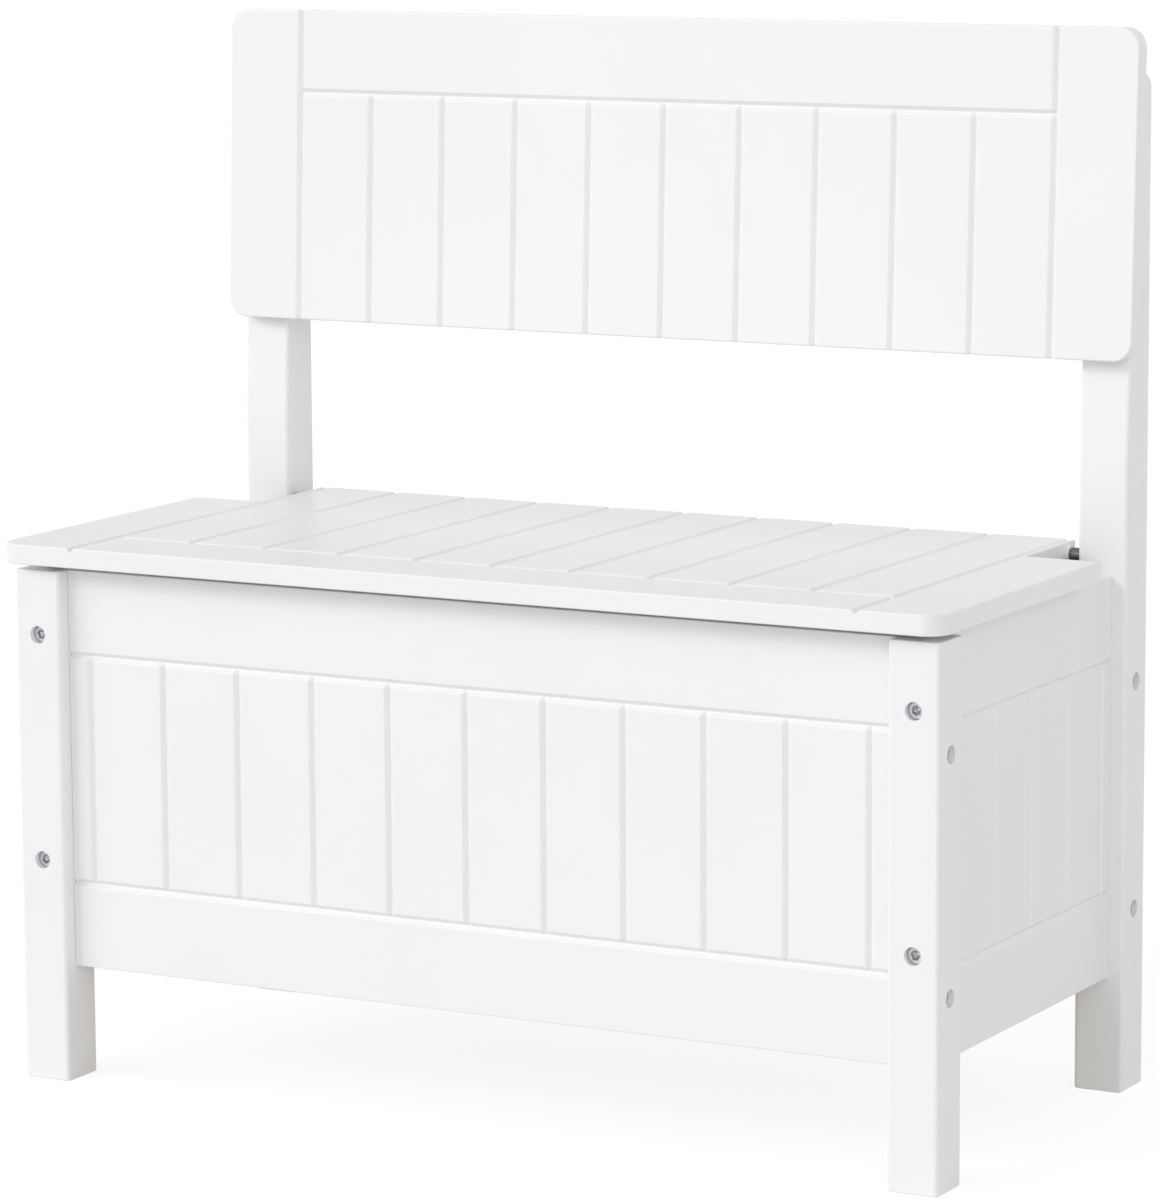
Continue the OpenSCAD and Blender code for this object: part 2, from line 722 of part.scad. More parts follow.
front_leg(-1);  // front_leg_left
front_leg(1);  // front_leg_right
rear_post(-1);  // rear_post_left
rear_post(1);  // rear_post_right
front_panel();
back_panel();
side_panel(-1);  // side_panel_left
side_panel(1);  // side_panel_right
floor_board();
cleat(-1);  // floor_cleat_front
cleat(1);  // floor_cleat_rear
backrest();
lid();
hinge_pin(-1);  // hinge_pin_left
hinge_pin(1);  // hinge_pin_right
hinge_bush(-1);  // hinge_bush_left
hinge_bush(1);  // hinge_bush_right
stay_arm(-1);  // stay_arm_left
stay_arm(1);  // stay_arm_right
stay_bracket(-1);  // stay_bracket_left
stay_bracket(1);  // stay_bracket_right
stay_rivet(-1);  // stay_rivet_left
stay_rivet(1);  // stay_rivet_right
stay_stud(-1);  // stay_stud_left
stay_stud(1);  // stay_stud_right
stay_washer(-1);  // stay_washer_left
stay_washer(1);  // stay_washer_right
frame_bolts();
barrel_nuts();
dowels();
backrest_screws();
cleat_screws();
bracket_screws();
lid_pads();
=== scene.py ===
import json
from math import asin, atan2, ceil, cos, pi, radians, sin, tan

import bmesh
import bpy
from mathutils import Matrix, Vector


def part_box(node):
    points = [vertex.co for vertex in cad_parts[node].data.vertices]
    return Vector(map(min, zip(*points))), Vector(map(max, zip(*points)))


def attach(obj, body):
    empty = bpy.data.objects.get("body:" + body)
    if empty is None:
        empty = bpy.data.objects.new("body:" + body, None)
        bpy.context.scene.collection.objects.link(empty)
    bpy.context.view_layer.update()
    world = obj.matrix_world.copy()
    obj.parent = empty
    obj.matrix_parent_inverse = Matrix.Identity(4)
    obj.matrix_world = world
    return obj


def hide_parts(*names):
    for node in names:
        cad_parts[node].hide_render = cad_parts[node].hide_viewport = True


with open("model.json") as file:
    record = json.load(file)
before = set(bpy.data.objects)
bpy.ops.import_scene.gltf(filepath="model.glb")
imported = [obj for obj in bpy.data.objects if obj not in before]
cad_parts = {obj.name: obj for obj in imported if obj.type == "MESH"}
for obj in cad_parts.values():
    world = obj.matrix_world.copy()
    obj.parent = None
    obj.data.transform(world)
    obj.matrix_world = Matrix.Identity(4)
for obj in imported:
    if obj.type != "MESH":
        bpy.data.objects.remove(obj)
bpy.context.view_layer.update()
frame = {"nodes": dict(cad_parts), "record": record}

MM = 0.001
BODY_OF = {
    node: body
    for body, nodes in frame["record"]["behaviour"]["bodies"].items()
    for node in nodes
}

# Sizes, mm

X_OUT = 300.0
LEG = 31.0
X_LEG = X_OUT - LEG / 2
X_CLEAR = X_OUT - LEG
Y_REAR = 150.0
Y_LEG = -140.0
Y_POST = Y_REAR - LEG
LEG_H = 307.5
LEG_EDGE_R = 2.5
LEG_END_EASE = 0.9
POST_H = 597.0
POST_TOP_R = 8.0
POST_FRONT_R = 1.5
POST_FOOT_R = 1.0
BEND_H = 375.0
BEND_R = 300.0
LEAN = radians(2.5)

PANEL_T = 12.0
PANEL_Z = 69.0
BACK_PANEL_H = 300.5
PANEL_EASE = 0.7
PANEL_CORNER_R = 0.3
Y_MID = (Y_LEG + Y_REAR) / 2
BORDER = 50.8
SLAT = 50.8
GROOVE_LOW = PANEL_Z + BORDER
GROOVE_HIGH = LEG_H - BORDER
FIELD = 5 * SLAT

GROOVE_W = 5.0
GROOVE_H = 2.3
GROOVE_LIP = 0.35
GROOVE_ROOT = 0.6
# Where the board is cut across a groove, from its middle, so that lips and root come out round
GROOVE_CUTS = (
    -2.85, -2.67, -2.5, -2.33, -2.15,
    -0.6, -0.4, -0.2, 0.0, 0.2, 0.4, 0.6,
    2.15, 2.33, 2.5, 2.67, 2.85,
)

SEAT_H = 324.0
LID_T = 12.0
LID_X = 305.0
LID_FRONT = -150.0
LID_BACK = 142.0
LID_WING = 68.0
TONGUE_X = 258.0
LID_EASE = 0.9
LID_FRONT_R = 14.0
LID_REAR_R = 2.0
LID_NOTCH_R = 0.8

BACK_X = 305.0
BACK_Z = 433.0
BACK_T = 12.0
BACK_R = 12.0
BACK_LEN = (625.0 - BACK_Z - BACK_T * sin(LEAN)) / cos(LEAN)
BACK_EASE = 1.1
SCREW_Z = (35.0, (POST_H - 35.0 - BACK_Z) / cos(LEAN))
SCREW_BACK = 19.0
SCREW_HEAD_R = 4.25
SCREW_HOLE_R = SCREW_HEAD_R + 0.1
SCREW_HOLE_OUT = -20.0

# How far a cutter starts outside the wood, and how far grooves run past the board
CUT_START = -2.0
BEYOND = 10.0

BOLT_HIGH = 269.0
BOLT_LOW = 133.5
BOLT_STEP = 25.0
BOLT_R = 3.0
HEAD_R = 5.0
HEAD_H = 6.0
SINK = 3.5
SOCKET_AF = 5.0
SOCKET_H = 3.0
HEAD_RIM_R = 0.6
BOLT_TIP = 0.8
HOLE_R = 5.2
HOLE_H = SINK + HEAD_H
HOLE_FLARE = 0.15
NUT_R = 5.0
NUT_HOLE_R = NUT_R + 0.08
NUT_HOLE_H = PANEL_T - 1.0
NUT_FLARE = 0.25
NUT_IN = LEG + 26.0
BOLT_END = NUT_IN + 9.0

Y_HINGE = 127.0
Z_HINGE = 317.0
PIN_R = 3.0
PIN_SET = 18.0
PIN_REACH = 23.0
PIN_TIP = 0.8
BUSH_R = 3.85
BUSH_HOLE_R = 3.05
BUSH_LEN = 24.0
BUSH_HOLE_END = BUSH_LEN + 0.2
COLLAR_R = 5.5
COLLAR_T = 3.5
SHOULDER_R = 4.5
SHOULDER_LEN = 7.1

STAY_R = 105.0
STAY_LAG = radians(26.0)
LID_OPEN = radians(70.0)
RIVET_A = asin((Z_HINGE - SEAT_H + LID_T + 9.0) / STAY_R)
STUD_A = RIVET_A + STAY_LAG
Y_RIVET = Y_HINGE - STAY_R * cos(RIVET_A)
Z_RIVET = Z_HINGE - STAY_R * sin(RIVET_A)
ARM_A = atan2(sin(RIVET_A) - sin(STUD_A), cos(RIVET_A) - cos(STUD_A))
ARM_W = 14.0
ARM_T = 2.0
ARM_X = 276.5
ARM_EASE = 0.35
ARM_OVER = 1.0
SLOT_W = 6.3
SLOT_NEAR = 2 * STAY_R * sin(STAY_LAG / 2)
SLOT_FAR = 2 * STAY_R * sin((STAY_LAG + LID_OPEN) / 2)
RIVET_HOLE_R = 2.05

PAD_R = 4.5
PAD_Y = (-120.0, 50.0)
PAD_DOME = 1.6
PAD_RIM_R = 1.4

# Room between the floor board and the legs, its corner radius and its eased edge
FLOOR_ROOM = 1.0
FLOOR_CORNER_R = 0.4
FLOOR_EASE = 0.3


def post_front(z):
    """Depth of a post's front face at height z."""
    return Y_POST + max(0.0, z - BEND_H) * tan(LEAN)


# Mesh helpers

# Angles in degrees above which an edge is a crease, for wood, sheet and turned metal
CREASE = 50.0
SHEET_CREASE = 40.0
METAL_CREASE = 35.0
# Least radius of a corner, the density of its points, and the slack of a full half round
LEAST_R = 0.02
ARC_DENSITY = 1.9
ROUND_SLACK = 0.01
# A vertex this little below the eased edge still belongs to the board's top
TOP_SLACK = 0.01
# A point this little past a groove's end still lies in it
END_SLACK = 1e-3
# Points closer than this become one: in mm for a cut, and in metres for a copy of a CAD node
CUT_MERGE = 1e-4
COPY_MERGE = 0.00001
# Faces of a copy that meet at less than this many degrees are joined
COPY_FLAT = 1.0


def place(origin, x_axis, z_axis):
    """Matrix of a local frame: its origin, X and Z are given."""
    x, z = Vector(x_axis).normalized(), Vector(z_axis).normalized()
    y = z.cross(x)
    matrix = Matrix((x, y, z)).transposed().to_4x4()
    matrix.translation = Vector(origin)
    return matrix


def piece_from(bm, name, mirror=False, sharp=CREASE):
    """Turns a bmesh in millimetres into an object in metres. mirror flips it to the left side."""
    bmesh.ops.scale(bm, vec=(-MM if mirror else MM, MM, MM), verts=bm.verts)
    if mirror:
        bmesh.ops.reverse_faces(bm, faces=bm.faces)
    mesh = bpy.data.meshes.new(name)
    bm.to_mesh(mesh)
    bm.free()
    piece = bpy.data.objects.new(name, mesh)
    bpy.context.scene.collection.objects.link(piece)
    smooth(piece, sharp)
    return piece


def smooth(piece, sharp):
    """Smooth shading, with a crease where faces meet at more than sharp degrees."""
    mesh = piece.data
    mesh.polygons.foreach_set("use_smooth", [True] * len(mesh.polygons))
    mesh.set_sharp_from_angle(angle=radians(sharp))


def settle(piece):
    """Applies the piece's modifiers to its mesh."""
    graph = bpy.context.evaluated_depsgraph_get()
    mesh = bpy.data.meshes.new_from_object(piece.evaluated_get(graph))
    piece.modifiers.clear()
    old = piece.data
    piece.data = mesh
    bpy.data.meshes.remove(old)
    mesh.name = piece.name


def even_shading(piece):
    """Gives flat faces flat normals, so that only the eased edges shade round."""
    weighted = piece.modifiers.new("weighted", "WEIGHTED_NORMAL")
    weighted.keep_sharp = True
    weighted.weight = 80
    settle(piece)


def cut(piece, cutter_mesh, mirror=False, sharp=CREASE):
    """Cuts the closed shells of a bmesh out of the piece."""
    cutter = piece_from(cutter_mesh, "cutter", mirror)
    boolean = piece.modifiers.new("holes", "BOOLEAN")
    boolean.operation = "DIFFERENCE"
    boolean.solver = "EXACT"
    boolean.object = cutter
    settle(piece)
    bpy.data.objects.remove(cutter)
    smooth(piece, sharp)


def corner_arc(before, corner, after, inset):
    """Points of one rounded corner of an outline, moved inset towards the inside."""
    x, y, radius = corner
    p = Vector((x, y))
    e0 = (p - Vector(before[:2])).normalized()
    e1 = (Vector(after[:2]) - p).normalized()
    n0, n1 = Vector((-e0.y, e0.x)), Vector((-e1.y, e1.x))
    turn = atan2(n0.x * n1.y - n0.y * n1.x, n0.dot(n1))
    side = 1.0 if turn > 0 else -1.0
    reach = (n0 + n1) / (1.0 + n0.dot(n1))
    r = max(radius - side * inset, LEAST_R)
    centre = p + reach * inset + reach * (side * r)
    steps = max(2, ceil(abs(turn) * radius ** 0.5 * ARC_DENSITY))
    points = []
    for i in range(steps + 1):
        a = turn * i / steps
        u = Vector((n0.x * cos(a) - n0.y * sin(a), n0.x * sin(a) + n0.y * cos(a)))
        points.append(centre - u * (side * r))
    return points


def outline(corners, inset):
    """Points of a closed outline with rounded corners, moved inset towards the inside."""
    points = []
    for i, corner in enumerate(corners):
        points += corner_arc(corners[i - 1], corner, corners[(i + 1) % len(corners)], inset)
    return points


def groove_depth(d):
    """Depth of a V-groove at distance d from its middle, with soft lips and a soft root."""
    half = GROOVE_W / 2
    slope = GROOVE_H / (half - GROOVE_ROOT / 2)
    d = abs(d)
    if d >= half + GROOVE_LIP:
        return 0.0
    if d > half - GROOVE_LIP:
        return slope * (half + GROOVE_LIP - d) ** 2 / (4 * GROOVE_LIP)
    if d < GROOVE_ROOT:
        return GROOVE_H - slope * d * d / (2 * GROOVE_ROOT)
    return slope * (half - d)


def depth_at(x, y, along_y, along_x):
    """Depth of the deepest groove over a point. A groove is (middle, start, end)."""
    deep = 0.0
    for middle, start, end in along_y:
        if start - END_SLACK <= y <= end + END_SLACK:
            deep = max(deep, groove_depth(x - middle))
    for middle, start, end in along_x:
        if start - END_SLACK <= x <= end + END_SLACK:
            deep = max(deep, groove_depth(y - middle))
    return deep


def carve(bm, ease, along_y, along_x):
    """Presses V-grooves into the top of a slab."""
    top = -ease - TOP_SLACK
    for axis, grooves in ((0, along_y), (1, along_x)):
        for middle in sorted({g[0] for g in grooves}):
            for step in GROOVE_CUTS:
                spot, normal = [0.0, 0.0, 0.0], [0.0, 0.0, 0.0]
                spot[axis] = middle + step
                normal[axis] = 1.0
                near = [f for f in bm.faces if min(v.co.z for v in f.verts) > top]
                geom = set(near)
                for face in near:
                    geom.update(face.edges)
                    geom.update(face.verts)
                bmesh.ops.bisect_plane(
                    bm, geom=list(geom), dist=CUT_MERGE, plane_co=spot, plane_no=normal
                )
    for vert in bm.verts:
        if vert.co.z > top:
            vert.co.z -= depth_at(vert.co.x, vert.co.y, along_y, along_x)


def slab(corners, thick, ease, matrix, along_y=(), along_x=(), steps=4):
    """A board with eased edges and grooves: its corners are (x, y, radius), its top is local Z = 0."""
    bm = bmesh.new()
    levels = []
    for k in range(steps + 1):
        a = pi / 2 * k / steps
        levels.append((ease * (1 - sin(a)), ease * (1 - cos(a))))
    stack = [(inset, -drop) for inset, drop in levels]
    stack += [(inset, drop - thick) for inset, drop in reversed(levels)]
    rings = [[bm.verts.new((p.x, p.y, z)) for p in outline(corners, inset)] for inset, z in stack]
    bm.faces.new(rings[0])
    bm.faces.new(list(reversed(rings[-1])))
    for upper, lower in zip(rings, rings[1:]):
        for i in range(len(upper)):
            j = (i + 1) % len(upper)
            bm.faces.new((upper[i], lower[i], lower[j], upper[j]))
    if along_y or along_x:
        carve(bm, ease, along_y, along_x)
    bm.transform(matrix)
    return bm


def lathe(bm, profile, matrix, segments=48, turn=0.0):
    """Adds a closed turned shape. The profile is (radius, z) points, and a radius may be a function
    of the angle."""
    rings = []
    for radius, z in profile:
        if radius == 0:
            rings.append([bm.verts.new(matrix @ Vector((0.0, 0.0, z)))])
            continue
        ring = []
        for i in range(segments):
            a = 2 * pi * i / segments
            r = radius(a) if callable(radius) else radius
            ring.append(bm.verts.new(matrix @ Vector((r * cos(a + turn), r * sin(a + turn), z))))
        rings.append(ring)
    faces = []
    for first, second in zip(rings, rings[1:]):
        for i in range(segments):
            j = (i + 1) % segments
            if len(first) == 1:
                faces.append(bm.faces.new((first[0], second[i], second[j])))
            elif len(second) == 1:
                faces.append(bm.faces.new((first[i], first[j], second[0])))
            else:
                faces.append(bm.faces.new((first[i], first[j], second[j], second[i])))
    if len(rings[0]) > 1:
        for i in range(segments):
            j = (i + 1) % segments
            faces.append(bm.faces.new((rings[-1][i], rings[-1][j], rings[0][j], rings[0][i])))
    bmesh.ops.recalc_face_normals(bm, faces=faces)


def rim(radius, z, round_r, inward, steps=4):
    """Profile points of a rounded rim, from the flat end at height z to the side. inward is the sign
    of the direction from the end into the body."""
    points = []
    for k in range(steps + 1):
        a = pi / 2 * k / steps
        points.append((radius - round_r * (1 - sin(a)), z + inward * round_r * (1 - cos(a))))
    return points


# Materials


# The part of a noise's range that is used: it hardly ever leaves it
NOISE_LOW = 0.3
NOISE_HIGH = 0.7


class Surface:
    """A material with a Principled shader, and short calls for the nodes around it."""

    def __init__(self, name):
        self.material = bpy.data.materials.new(name)
        self.material.use_nodes = True
        self.tree = self.material.node_tree
        self.shader = self.tree.nodes["Principled BSDF"]
        self.coords = self.add("ShaderNodeTexCoord").outputs["Object"]

    def add(self, kind, **values):
        node = self.tree.nodes.new(kind)
        for key, value in values.items():
            setattr(node, key, value)
        return node

    def link(self, output, socket):
        self.tree.links.new(output, socket)

    def stretched(self, scale):
        mapping = self.add("ShaderNodeMapping")
        mapping.inputs["Scale"].default_value = scale
        self.link(self.coords, mapping.inputs["Vector"])
        return mapping.outputs["Vector"]

    def noise(self, scale, detail=3.0, rough=0.5, coords=None, distortion=0.0):
        node = self.add("ShaderNodeTexNoise")
        node.inputs["Scale"].default_value = scale
        node.inputs["Detail"].default_value = detail
        node.inputs["Roughness"].default_value = rough
        node.inputs["Distortion"].default_value = distortion
        self.link(coords or self.coords, node.inputs["Vector"])
        return node.outputs["Fac"]

    def ramp(self, value, stops):
        node = self.add("ShaderNodeValToRGB")
        while len(node.color_ramp.elements) < len(stops):
            node.color_ramp.elements.new(0.5)
        for element, (position, colour) in zip(node.color_ramp.elements, stops):
            element.position = position
            element.color = (*colour, 1.0)
        self.link(value, node.inputs["Fac"])
        return node.outputs["Color"]

    def ranged(self, value, low, high):
        node = self.add("ShaderNodeMapRange")
        node.inputs["From Min"].default_value = NOISE_LOW
        node.inputs["From Max"].default_value = NOISE_HIGH
        node.inputs["To Min"].default_value = low
        node.inputs["To Max"].default_value = high
        self.link(value, node.inputs["Value"])
        return node.outputs["Result"]

    def bumps(self, *layers):
        """Stacks bump layers of (height, distance in metres) on the shader's normal."""
        normal = None
        for height, distance in layers:
            node = self.add("ShaderNodeBump")
            node.inputs["Strength"].default_value = 1.0
            node.inputs["Distance"].default_value = distance
            self.link(height, node.inputs["Height"])
            if normal:
                self.link(normal, node.inputs["Normal"])
            normal = node.outputs["Normal"]
        self.link(normal, self.shader.inputs["Normal"])

    def colour(self, output):
        self.link(output, self.shader.inputs["Base Color"])

    def roughness(self, output):
        self.link(output, self.shader.inputs["Roughness"])

    def set(self, name, value):
        self.shader.inputs[name].default_value = value


PAINT_LOW = (0.866, 0.866, 0.870)
PAINT_HIGH = (0.880, 0.880, 0.884)


def paint(name, grain_scale, grain_depth):
    """Semi-gloss white lacquer. The grain below it shows faintly along one axis."""
    s = Surface(name)
    s.colour(s.ramp(s.noise(7.0, 4.0), [(0.35, PAINT_LOW), (0.65, PAINT_HIGH)]))
    s.roughness(s.ranged(s.noise(55.0, 4.0, 0.6), 0.29, 0.37))
    peel = s.noise(620.0, 2.0, 0.4)
    waves = s.noise(38.0, 2.0, 0.5)
    grain = s.noise(1.0, 5.0, 0.65, s.stretched(grain_scale))
    s.bumps((waves, 0.00008), (grain, grain_depth), (peel, 0.000012))
    s.set("IOR", 1.5)
    return s.material


def wood(name, scale, light, middle, dark, rough):
    """Bare wood: broad bands of colour with finer fibres over them, both along one axis."""
    s = Surface(name)
    bands = s.noise(1.0, 7.0, 0.62, s.stretched(scale), 0.35)
    fine = s.noise(1.0, 4.0, 0.7, s.stretched([3.1 * v + 9.0 for v in scale]))
    mix = s.add("ShaderNodeMix", data_type="FLOAT")
    mix.inputs["Factor"].default_value = 0.35
    # The mix of numbers has its two values at sockets 2 and 3
    s.link(bands, mix.inputs[2])
    s.link(fine, mix.inputs[3])
    grain = mix.outputs[0]
    s.colour(s.ramp(grain, [(0.30, dark), (0.48, middle), (0.70, light)]))
    s.roughness(s.ranged(fine, rough - 0.07, rough + 0.07))
    s.bumps((grain, 0.00012), (fine, 0.00005))
    return s.material


def zinc(name, low, high, rough):
    """Zinc plate: cloudy metal between two colours."""
    s = Surface(name)
    clouds = s.noise(420.0, 4.0, 0.6)
    s.colour(s.ramp(clouds, [(0.3, low), (0.7, high)]))
    s.roughness(s.ranged(s.noise(900.0, 3.0, 0.6), rough - 0.06, rough + 0.06))
    s.bumps((s.noise(1600.0, 3.0, 0.6), 0.00001))
    s.set("Metallic", 1.0)
    return s.material


def nylon():
    s = Surface("white_moulded_nylon")
    s.colour(s.ramp(s.noise(60.0, 3.0), [(0.3, (0.80, 0.80, 0.775)), (0.7, (0.86, 0.86, 0.84))]))
    s.roughness(s.ranged(s.noise(700.0, 2.0), 0.38, 0.50))
    s.bumps((s.noise(1300.0, 2.0), 0.00002))
    return s.material


def pad_rubber():
    s = Surface("soft_bumper")
    s.colour(s.ramp(s.noise(260.0, 3.0), [(0.3, (0.60, 0.60, 0.58)), (0.7, (0.70, 0.70, 0.68))]))
    s.roughness(s.ranged(s.noise(800.0, 3.0), 0.55, 0.72))
    s.bumps((s.noise(1500.0, 3.0, 0.6), 0.00003))
    return s.material


PAINTED_BOARD = paint("white_paint_on_board", (9.0, 9.0, 9.0), 0.00003)
PAINTED_LEG = paint("white_paint_on_wood", (420.0, 420.0, 9.0), 0.00003)
PLYWOOD = wood(
    "birch_plywood",
    (2.6, 60.0, 160.0),
    (0.84, 0.74, 0.58),
    (0.78, 0.66, 0.48),
    (0.66, 0.52, 0.35),
    0.55,
)
BEECH = wood(
    "beech",
    (7.0, 170.0, 170.0),
    (0.77, 0.62, 0.45),
    (0.70, 0.53, 0.36),
    (0.58, 0.41, 0.26),
    0.52,
)
ZINC = zinc("zinc_plated_steel", (0.54, 0.55, 0.57), (0.68, 0.69, 0.70), 0.36)
# Zinc of the hinge pins, coloured near black: painted shade for the shaded gap between the lid's tongue
# and the post, where the pins are really bright zinc plate.
ZINC_DARKENED_FOR_SHADE = zinc("zinc_steel_painted_dark_for_shade", (0.11, 0.11, 0.105), (0.17, 0.17, 0.16), 0.5)
NYLON = nylon()
PAD = pad_rubber()


def dress(piece, material, slot, *nodes):
    """Gives a piece its material, and puts it in the place of CAD nodes of one body."""
    piece.data.materials.clear()
    piece.data.materials.append(material)
    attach(piece, BODY_OF[nodes[0]])
    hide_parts(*nodes)
    return piece


# Places

# Local X and local Z of a board that faces front, back, right or up
UPRIGHT_FRONT = ((1, 0, 0), (0, -1, 0))
UPRIGHT_BACK = ((-1, 0, 0), (0, 1, 0))
UPRIGHT_RIGHT = ((0, 1, 0), (1, 0, 0))
FACE_UP = ((1, 0, 0), (0, 0, 1))


def bolt_places(sy):
    """The right-hand bolts of the front (sy -1) or rear (sy 1) corner, as (matrix, board they hold).
    Local Z points into the wood from the leg's face, and local X towards the inside of the box."""
    y_face = Y_LEG if sy < 0 else Y_REAR
    y_board = Y_LEG + LEG / 2 if sy < 0 else Y_REAR - LEG / 2
    found = []
    for z in (BOLT_LOW, BOLT_HIGH):
        found.append((place((X_LEG, y_face, z), (-1, 0, 0), (0, -sy, 0)), "side"))
        found.append((place((X_OUT, y_board, z - BOLT_STEP), (0, -sy, 0), (-1, 0, 0)), "end"))
    return found


def backrest_matrix(x, up, out):
    """Frame on the backrest's lean: local Y runs up the board, local Z out of its front."""
    base = Vector((x, post_front(BACK_Z), BACK_Z))
    up_axis = Vector((0, sin(LEAN), cos(LEAN)))
    front = Vector((0, -cos(LEAN), sin(LEAN)))
    return place(base + up_axis * up + front * out, (1, 0, 0), front)


# Legs and posts


def bolt_hole_cutters(bm, sy):
    """Cutters for the bolt holes of a right-hand leg, with a rounded mouth."""
    profile = [(0, CUT_START), (HOLE_R + HOLE_FLARE, CUT_START)]
    for a in (0.0, pi / 6, pi / 3, pi / 2):
        profile.append((HOLE_R + HOLE_FLARE * (1 - sin(a)), HOLE_FLARE * (1 - cos(a))))
    profile += [(HOLE_R, HOLE_H), (0, HOLE_H)]
    for matrix, _ in bolt_places(sy):
        lathe(bm, profile, matrix)


def front_leg(side):
    mirror = side == "left"
    x0, x1 = X_CLEAR, X_OUT
    y0, y1 = Y_LEG, Y_LEG + LEG
    r = LEG_EDGE_R
    corners = [(x0, y0, r), (x1, y0, r), (x1, y1, r), (x0, y1, r)]
    board = slab(corners, LEG_H, LEG_END_EASE, place((0, 0, LEG_H), *FACE_UP))
    piece = piece_from(board, f"front_leg_{side}_painted", mirror)
    cutters = bmesh.new()
    bolt_hole_cutters(cutters, -1)
    cut(piece, cutters, mirror)
    even_shading(piece)
    return dress(piece, PAINTED_LEG, "white_paint", f"front_leg_{side}")


def rear_post(side):
    mirror = side == "left"
    corners = [
        (Y_POST, 0, POST_FOOT_R),
        (Y_REAR, 0, POST_FOOT_R),
        (Y_REAR, POST_H, POST_TOP_R),
        (post_front(POST_H), POST_H, POST_FRONT_R),
        (post_front(BEND_H), BEND_H, BEND_R),
    ]
    board = slab(corners, LEG, LEG_EDGE_R, place((X_OUT, 0, 0), *UPRIGHT_RIGHT))
    piece = piece_from(board, f"rear_post_{side}_painted", mirror)
    cutters = bmesh.new()
    bolt_hole_cutters(cutters, 1)
    profile = [(0, 3.0), (BOLT_R, 3.0), (SCREW_HOLE_R, 0.02)]
    profile += [(SCREW_HOLE_R, SCREW_HOLE_OUT), (0, SCREW_HOLE_OUT)]
    for z in SCREW_Z:
        lathe(cutters, profile, backrest_matrix(X_LEG, z, -SCREW_BACK))
    cut(piece, cutters, mirror)
    even_shading(piece)
    return dress(piece, PAINTED_LEG, "white_paint", f"rear_post_{side}")


# Panels

# Grooves as (middle, start, end): upright ones between the slats, level ones above and below them
FRONT_SLATS = [(i * SLAT, GROOVE_LOW, GROOVE_HIGH) for i in range(-5, 6)]
FRONT_ROWS = [(z, -X_OUT, X_OUT) for z in (GROOVE_LOW, GROOVE_HIGH)]
SIDE_SLATS = [(Y_MID + i * SLAT, GROOVE_LOW, GROOVE_HIGH) for i in range(-2, 3)]
SIDE_ROWS = [(z, Y_LEG, Y_REAR) for z in (GROOVE_LOW, GROOVE_HIGH)]


def nut_cutters(bm, board, ends, mirrored=False):
    """Cutters for the barrel nuts' holes in a board. mirrored adds those of its other end."""
    flips = (1.0, -1.0) if mirrored else (1.0,)
    profile = [(0, CUT_START), (NUT_HOLE_R + NUT_FLARE, CUT_START), (NUT_HOLE_R + NUT_FLARE, 0.0)]
    profile += [(NUT_HOLE_R, NUT_FLARE), (NUT_HOLE_R, NUT_HOLE_H), (0, NUT_HOLE_H)]
    to_nut = Matrix.Translation((PANEL_T / 2, 0, NUT_IN))
    for sy in ends:
        for matrix, held in bolt_places(sy):
            if held != board:
                continue
            nut = matrix @ to_nut @ Matrix.Rotation(-pi / 2, 4, "Y")
            for flip in flips:
                lathe(bm, profile, Matrix.Diagonal((flip, 1.0, 1.0, 1.0)) @ nut)


def end_panel(name, y_face, top, axes, ends, along_y=(), along_x=()):
    """The front or back panel. y_face is the depth of its outer face, and top its height."""
    corners = [
        (-X_CLEAR, PANEL_Z, PANEL_CORNER_R),
        (X_CLEAR, PANEL_Z, PANEL_CORNER_R),
        (X_CLEAR, top, PANEL_CORNER_R),
        (-X_CLEAR, top, PANEL_CORNER_R),
    ]
    board = slab(corners, PANEL_T, PANEL_EASE, place((0, y_face, 0), *axes), along_y, along_x)
    piece = piece_from(board, f"{name}_painted")
    cutters = bmesh.new()
    nut_cutters(cutters, "end", ends, True)
    cut(piece, cutters)
    even_shading(piece)
    return dress(piece, PAINTED_BOARD, "white_paint", name)


def side_panel(side):
    mirror = side == "left"
    corners = [
        (Y_LEG + LEG, PANEL_Z, PANEL_CORNER_R),
        (Y_POST, PANEL_Z, PANEL_CORNER_R),
        (Y_POST, LEG_H, PANEL_CORNER_R),
        (Y_LEG + LEG, LEG_H, PANEL_CORNER_R),
    ]
    matrix = place((X_LEG + PANEL_T / 2, 0, 0), *UPRIGHT_RIGHT)
    board = slab(corners, PANEL_T, PANEL_EASE, matrix, SIDE_SLATS, SIDE_ROWS)
    piece = piece_from(board, f"side_panel_{side}_painted", mirror)
    cutters = bmesh.new()
    nut_cutters(cutters, "side", (-1, 1))
    cut(piece, cutters, mirror)
    even_shading(piece)
    return dress(piece, PAINTED_BOARD, "white_paint", f"side_panel_{side}")


# Lid and backrest


